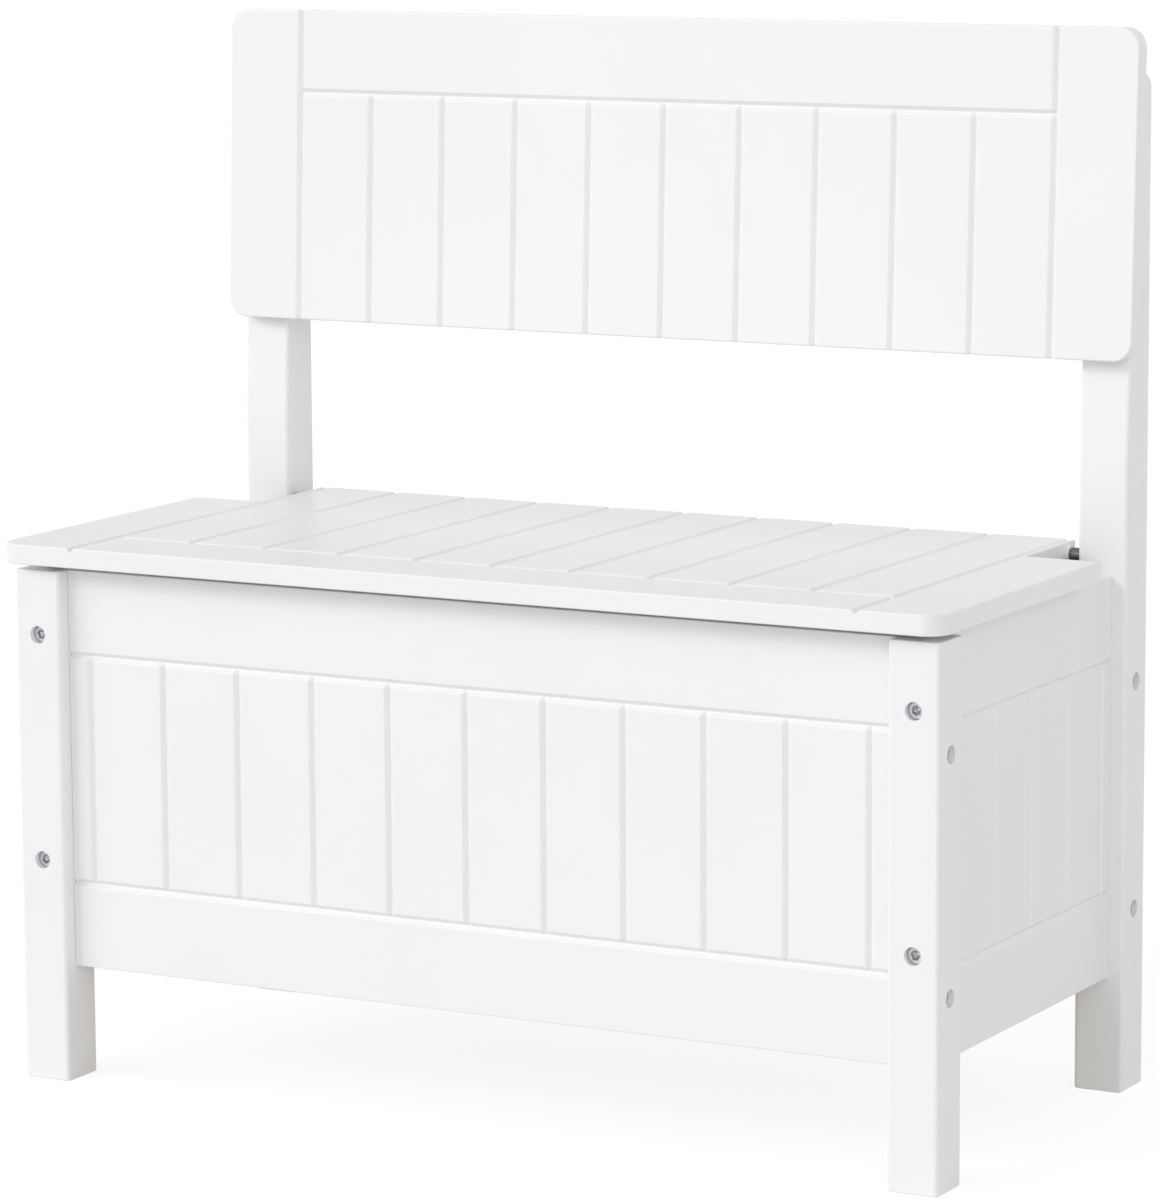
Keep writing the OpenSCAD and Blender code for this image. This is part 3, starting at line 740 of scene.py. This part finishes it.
def lid():
    corners = [
        (-LID_X, LID_FRONT, LID_FRONT_R),
        (LID_X, LID_FRONT, LID_FRONT_R),
        (LID_X, LID_WING, LID_REAR_R),
        (TONGUE_X, LID_WING, LID_NOTCH_R),
        (TONGUE_X, LID_BACK, LID_REAR_R),
        (-TONGUE_X, LID_BACK, LID_REAR_R),
        (-TONGUE_X, LID_WING, LID_NOTCH_R),
        (-LID_X, LID_WING, LID_REAR_R),
    ]
    y_cross = LID_FRONT + BORDER
    slats = [(i * SLAT, y_cross, LID_BACK + BEYOND) for i in range(-4, 5)]
    slats += [(x, LID_FRONT - BEYOND, LID_BACK + BEYOND) for x in (-FIELD, FIELD)]
    matrix = place((0, 0, SEAT_H), *FACE_UP)
    board = slab(corners, LID_T, LID_EASE, matrix, slats, [(y_cross, -FIELD, FIELD)])
    piece = piece_from(board, "lid_painted")
    cutters = bmesh.new()
    profile = [(0, CUT_START), (BUSH_R, CUT_START), (BUSH_R, BUSH_HOLE_END), (0, BUSH_HOLE_END)]
    for sx in (-1, 1):
        lathe(cutters, profile, place((sx * TONGUE_X, Y_HINGE, Z_HINGE), (0, 0, 1), (-sx, 0, 0)))
    cut(piece, cutters)
    even_shading(piece)
    return dress(piece, PAINTED_BOARD, "white_paint", "lid")


def backrest():
    corners = [
        (-BACK_X, 0, BACK_R),
        (BACK_X, 0, BACK_R),
        (BACK_X, BACK_LEN, BACK_R),
        (-BACK_X, BACK_LEN, BACK_R),
    ]
    cross = BACK_LEN - BORDER
    slats = [(i * SLAT, -BEYOND, cross) for i in range(-4, 5)]
    slats += [(x, -BEYOND, BACK_LEN + BEYOND) for x in (-FIELD, FIELD)]
    matrix = backrest_matrix(0, 0, BACK_T)
    board = slab(corners, BACK_T, BACK_EASE, matrix, slats, [(cross, -FIELD, FIELD)])
    piece = piece_from(board, "backrest_painted")
    even_shading(piece)
    return dress(piece, PAINTED_BOARD, "white_paint", "backrest")


# Fittings


def hexagon(across_flats):
    """Radius of a hexagon at an angle, for a turned profile."""
    return lambda a: across_flats / 2 / cos((a % (pi / 3)) - pi / 6)


def frame_bolts():
    """Socket head screws, each with its socket at its own angle."""
    bm = bmesh.new()
    socket = hexagon(SOCKET_AF)
    lip = hexagon(SOCKET_AF + 0.5)
    bottom = SINK + SOCKET_H
    below = SINK + HEAD_H
    profile = [(0, bottom + 2.4), (1.3, bottom + 1.2), (socket, bottom)]
    profile += [(socket, SINK + 0.3), (lip, SINK)]
    profile += rim(HEAD_R, SINK, HEAD_RIM_R, 1.0)
    profile += [(HEAD_R, below - 0.2), (HEAD_R - 0.2, below), (BOLT_R, below)]
    profile += [(BOLT_R, BOLT_END - BOLT_TIP), (BOLT_R - BOLT_TIP, BOLT_END), (0, BOLT_END)]
    turn = 0.15
    for sy in (-1, 1):
        for matrix, _ in bolt_places(sy):
            for flip in (1.0, -1.0):
                lathe(bm, profile, Matrix.Diagonal((flip, 1.0, 1.0, 1.0)) @ matrix, turn=turn)
                turn += 0.37
    piece = piece_from(bm, "frame_bolts_zinc", sharp=METAL_CREASE)
    return dress(piece, ZINC, "zinc_steel", "frame_bolts")


def hinge_pin(side):
    """A turned pin: set in the post, with a shoulder in the gap, and its end in the bush."""
    mirror = side == "left"
    bm = bmesh.new()
    matrix = place((X_CLEAR, Y_HINGE, Z_HINGE), (0, 0, 1), (-1, 0, 0))
    end = X_CLEAR - TONGUE_X + PIN_REACH
    profile = [(0, -PIN_SET), (PIN_R, -PIN_SET), (PIN_R, 0.0)] + rim(SHOULDER_R, 0.0, 0.3, 1.0)
    profile += list(reversed(rim(SHOULDER_R, SHOULDER_LEN, 0.5, -1.0)))
    profile += [(PIN_R, SHOULDER_LEN), (PIN_R, end - PIN_TIP), (PIN_R - PIN_TIP, end), (0, end)]
    lathe(bm, profile, matrix)
    piece = piece_from(bm, f"hinge_pin_{side}_turned", mirror, METAL_CREASE)
    # The pin gets the near-black zinc: painted shade for the gap it sits in.
    return dress(piece, ZINC_DARKENED_FOR_SHADE, "zinc_steel", f"hinge_pin_{side}")


def hinge_bush(side):
    """The bush in the lid's tongue, with a collar on its end face."""
    mirror = side == "left"
    bm = bmesh.new()
    matrix = place((TONGUE_X, Y_HINGE, Z_HINGE), (0, 0, 1), (-1, 0, 0))
    profile = [(BUSH_HOLE_R, BUSH_LEN)]
    profile += [(BUSH_HOLE_R, -COLLAR_T + 0.2), (BUSH_HOLE_R + 0.2, -COLLAR_T)]
    profile += rim(COLLAR_R, -COLLAR_T, 0.5, 1.0)
    profile += [(COLLAR_R, 0.0), (BUSH_R, 0.0), (BUSH_R, BUSH_LEN)]
    lathe(bm, profile, matrix)
    piece = piece_from(bm, f"hinge_bush_{side}_turned", mirror, METAL_CREASE)
    return dress(piece, NYLON, "white_nylon", f"hinge_bush_{side}")


def lid_pads():
    """Domed pads on the side panels, on which the lid closes."""
    bm = bmesh.new()
    height = SEAT_H - LID_T - LEG_H
    profile = [(0, 0.0), (PAD_R, 0.0), (PAD_R, height - PAD_DOME)]
    profile += list(reversed(rim(PAD_R, height, PAD_RIM_R, -1.0))) + [(0, height)]
    for sx in (-1, 1):
        for y in PAD_Y:
            lathe(bm, profile, Matrix.Translation((sx * X_LEG, y, LEG_H)))
    piece = piece_from(bm, "lid_pads_moulded", sharp=SHEET_CREASE)
    return dress(piece, PAD, "soft_pad", "lid_pads")


def stay_arm(side):
    """A slotted strap of steel: local X runs from the rivet along the slot."""
    mirror = side == "left"
    half = ARM_W / 2
    r = half - ROUND_SLACK
    far = SLOT_FAR + ARM_W
    corners = [(-half, -half, r), (far, -half, r), (far, half, r), (-half, half, r)]
    matrix = place((ARM_X, Y_RIVET, Z_RIVET), (0, cos(ARM_A), sin(ARM_A)), (1, 0, 0))
    strap = slab(corners, ARM_T, ARM_EASE, matrix, steps=3)
    piece = piece_from(strap, f"stay_arm_{side}_pressed", mirror)
    cutters = bmesh.new()
    below = -ARM_T - ARM_OVER
    lathe(cutters, [(0, ARM_OVER), (RIVET_HOLE_R, ARM_OVER), (RIVET_HOLE_R, below), (0, below)], matrix)
    h = SLOT_W / 2
    r = h - ROUND_SLACK
    a, b = SLOT_NEAR - h, SLOT_FAR + h
    slot_corners = [(a, -h, r), (b, -h, r), (b, h, r), (a, h, r)]
    slot_matrix = matrix @ Matrix.Translation((0, 0, ARM_OVER))
    slot_mesh = slab(slot_corners, ARM_T + 2 * ARM_OVER, 0.05, slot_matrix, steps=2)
    slot_copy = bpy.data.meshes.new("slot")
    slot_mesh.to_mesh(slot_copy)
    slot_mesh.free()
    cutters.from_mesh(slot_copy)
    bpy.data.meshes.remove(slot_copy)
    cut(piece, cutters, mirror, SHEET_CREASE)
    even_shading(piece)
    return dress(piece, ZINC, "zinc_steel", f"stay_arm_{side}")


def floor_board():
    """The plywood floor, with a corner cut out for each leg."""
    lo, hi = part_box("floor_board")
    x1 = hi.x / MM
    x0 = X_CLEAR - FLOOR_ROOM
    y0, y3 = lo.y / MM, hi.y / MM
    y1, y2 = Y_LEG + LEG + FLOOR_ROOM, Y_POST - FLOOR_ROOM
    r = FLOOR_CORNER_R
    right = [(x0, y0, r), (x0, y1, r), (x1, y1, r), (x1, y2, r), (x0, y2, r), (x0, y3, r)]
    corners = right + [(-x, y, rr) for x, y, rr in reversed(right)]
    thick = (hi.z - lo.z) / MM
    board = slab(corners, thick, FLOOR_EASE, place((0, 0, hi.z / MM), *FACE_UP), steps=2)
    piece = piece_from(board, "floor_board_plywood")
    even_shading(piece)
    return dress(piece, PLYWOOD, "bare_wood", "floor_board")


def eased_copy(node, suffix, width, material, slot):
    """A copy of a CAD node whose edges are eased."""
    bm = bmesh.new()
    bm.from_mesh(frame["nodes"][node].data)
    bmesh.ops.remove_doubles(bm, verts=bm.verts, dist=COPY_MERGE)
    bmesh.ops.dissolve_limit(bm, angle_limit=radians(COPY_FLAT), verts=bm.verts, edges=bm.edges)
    bmesh.ops.scale(bm, vec=(1 / MM, 1 / MM, 1 / MM), verts=bm.verts)
    piece = piece_from(bm, f"{node}_{suffix}", sharp=SHEET_CREASE)
    bevel = piece.modifiers.new("eased", "BEVEL")
    bevel.width = width * MM
    bevel.segments = 2
    bevel.limit_method = "ANGLE"
    bevel.angle_limit = radians(SHEET_CREASE)
    bevel.use_clamp_overlap = True
    settle(piece)
    smooth(piece, SHEET_CREASE)
    even_shading(piece)
    return dress(piece, material, slot, node)


# Assembly

SIDES = ("left", "right")
for side in SIDES:
    front_leg(side)
    rear_post(side)
    side_panel(side)
    hinge_pin(side)
    hinge_bush(side)
    stay_arm(side)

front_face = Y_LEG + LEG / 2 - PANEL_T / 2
back_face = Y_REAR - LEG / 2 + PANEL_T / 2
end_panel("front_panel", front_face, LEG_H, UPRIGHT_FRONT, (-1,), FRONT_SLATS, FRONT_ROWS)
end_panel("back_panel", back_face, BACK_PANEL_H, UPRIGHT_BACK, (1,))
lid()
backrest()
frame_bolts()
lid_pads()
floor_board()
for end in ("front", "rear"):
    eased_copy(f"floor_cleat_{end}", "sawn", 0.5, BEECH, "bare_wood")
for side in SIDES:
    eased_copy(f"stay_bracket_{side}", "pressed", 0.3, ZINC, "zinc_steel")
    eased_copy(f"stay_rivet_{side}", "set", 0.3, ZINC, "zinc_steel")
    eased_copy(f"stay_stud_{side}", "turned", 0.4, ZINC, "zinc_steel")
    eased_copy(f"stay_washer_{side}", "moulded", 0.25, NYLON, "white_nylon")

# CAD nodes kept as they are, which only get a material
CARRIED_OVER = {
    "barrel_nuts": ZINC,
    "dowels": BEECH,
    "backrest_screws": ZINC,
    "cleat_screws": ZINC,
    "bracket_screws": ZINC,
}
for node, material in CARRIED_OVER.items():
    for material_slot in frame["nodes"][node].material_slots:
        material_slot.material = material


# Floor, sky and lamps


def is_seen(tree):
    """1 for rays from the camera, a reflection or a transmission, and otherwise 0."""
    path = tree.nodes.new("ShaderNodeLightPath")
    value = path.outputs["Is Camera Ray"]
    for other in ("Is Glossy Ray", "Is Transmission Ray"):
        largest = tree.nodes.new("ShaderNodeMath")
        largest.operation = "MAXIMUM"
        tree.links.new(value, largest.inputs[0])
        tree.links.new(path.outputs[other], largest.inputs[1])
        value = largest.outputs[0]
    return value


AMBIENT = 0.475
FLOOR_HALF = 14.0
FLOOR_ALBEDO = 0.80
# The floor as it is seen: a pale diffuse share, which keeps the shadow, and a glow
FLOOR_SEEN_DIFFUSE = 0.24
FLOOR_SEEN_GLOW = 0.84


def grey(level):
    return (level, level, level, 1.0)


def sky():
    """Even light from all around, and white where it is seen."""
    world = bpy.data.worlds.new("studio")
    world.use_nodes = True
    bpy.context.scene.world = world
    tree = world.node_tree
    background = tree.nodes["Background"]
    background.inputs["Color"].default_value = grey(1.0)
    level = tree.nodes.new("ShaderNodeMapRange")
    level.inputs["To Min"].default_value = AMBIENT
    level.inputs["To Max"].default_value = 1.0
    tree.links.new(is_seen(tree), level.inputs["Value"])
    tree.links.new(level.outputs["Result"], background.inputs["Strength"])


def studio_floor():
    mesh = bpy.data.meshes.new("studio_floor")
    h = FLOOR_HALF
    mesh.from_pydata([(-h, -h, 0), (h, -h, 0), (h, h, 0), (-h, h, 0)], [], [(0, 1, 2, 3)])
    floor = bpy.data.objects.new("studio_floor", mesh)
    bpy.context.scene.collection.objects.link(floor)
    material = bpy.data.materials.new("studio_floor")
    material.use_nodes = True
    material.cycles.emission_sampling = "NONE"
    tree = material.node_tree
    tree.nodes.clear()
    paper = tree.nodes.new("ShaderNodeBsdfDiffuse")
    paper.inputs["Color"].default_value = grey(FLOOR_ALBEDO)
    seen = tree.nodes.new("ShaderNodeBsdfDiffuse")
    seen.inputs["Color"].default_value = grey(FLOOR_SEEN_DIFFUSE)
    glow = tree.nodes.new("ShaderNodeEmission")
    glow.inputs["Strength"].default_value = FLOOR_SEEN_GLOW
    both = tree.nodes.new("ShaderNodeAddShader")
    mix = tree.nodes.new("ShaderNodeMixShader")
    out = tree.nodes.new("ShaderNodeOutputMaterial")
    tree.links.new(seen.outputs[0], both.inputs[0])
    tree.links.new(glow.outputs[0], both.inputs[1])
    tree.links.new(is_seen(tree), mix.inputs[0])
    tree.links.new(paper.outputs[0], mix.inputs[1])
    tree.links.new(both.outputs[0], mix.inputs[2])
    tree.links.new(mix.outputs[0], out.inputs["Surface"])
    mesh.materials.append(material)


COOL = (0.975, 0.985, 1.0)
NEUTRAL = (1.0, 1.0, 1.0)
# Name, azimuth, height, level, angular size and colour, with all angles in degrees
LAMPS = (
    ("key", -34.0, 28.0, 0.21, 20.0, COOL),
    ("left", -60.0, 20.0, 0.30, 30.0, COOL),
    ("front_right", 25.0, 20.0, 0.14, 40.0, NEUTRAL),
    ("right", 70.0, 15.0, 0.175, 60.0, NEUTRAL),
    ("back", 165.0, 25.0, 0.07, 60.0, NEUTRAL),
)
# How far away a lamp stands. Its light doesn't depend on it
LAMP_AWAY = 3.0


def distant_lamp(name, azimuth, height, level, size, colour):
    """A lamp far away. Azimuth is measured from the front, positive to the right. Level is the
    brightness that it gives a white surface that faces it."""
    lamp = bpy.data.lights.new(name, "SUN")
    lamp.energy = level * pi
    lamp.angle = radians(size)
    lamp.color = colour
    a, h = radians(azimuth), radians(height)
    towards = Vector((sin(a) * cos(h), -cos(a) * cos(h), sin(h)))
    obj = bpy.data.objects.new(name, lamp)
    obj.rotation_euler = towards.to_track_quat("Z", "Y").to_euler()
    obj.location = towards * LAMP_AWAY
    bpy.context.scene.collection.objects.link(obj)


def studio_lamps():
    for lamp in LAMPS:
        distant_lamp(*lamp)


# Camera

IMAGE_H = 1200.0
FOCAL_PX = 5360.8
SENSOR = 36.0
CAMERA_AT = (1.4881, -2.7291, 0.7841)
CAMERA_YAW = radians(28.552)
CAMERA_PITCH = radians(-9.032)
CAMERA_ROLL = radians(-0.348)
CAMERA_SEES_TO = 200.0


def camera():
    data = bpy.data.cameras.new("camera")
    data.sensor_fit = "VERTICAL"
    data.sensor_width = SENSOR
    data.sensor_height = SENSOR
    data.lens = FOCAL_PX / IMAGE_H * SENSOR
    data.clip_end = CAMERA_SEES_TO
    forward = Vector((
        -sin(CAMERA_YAW) * cos(CAMERA_PITCH),
        cos(CAMERA_YAW) * cos(CAMERA_PITCH),
        sin(CAMERA_PITCH),
    ))
    right = Vector((cos(CAMERA_YAW), sin(CAMERA_YAW), 0.0))
    up = right.cross(forward)
    c, s = cos(CAMERA_ROLL), sin(CAMERA_ROLL)
    turned_right, turned_up = right * c + up * s, up * c - right * s
    matrix = Matrix((turned_right, turned_up, -forward)).transposed().to_4x4()
    matrix.translation = Vector(CAMERA_AT)
    cam = bpy.data.objects.new("camera", data)
    cam.matrix_world = matrix
    bpy.context.scene.collection.objects.link(cam)
    bpy.context.scene.camera = cam


sky()
studio_floor()
studio_lamps()
camera()
bpy.context.scene.view_settings.view_transform = "Standard"
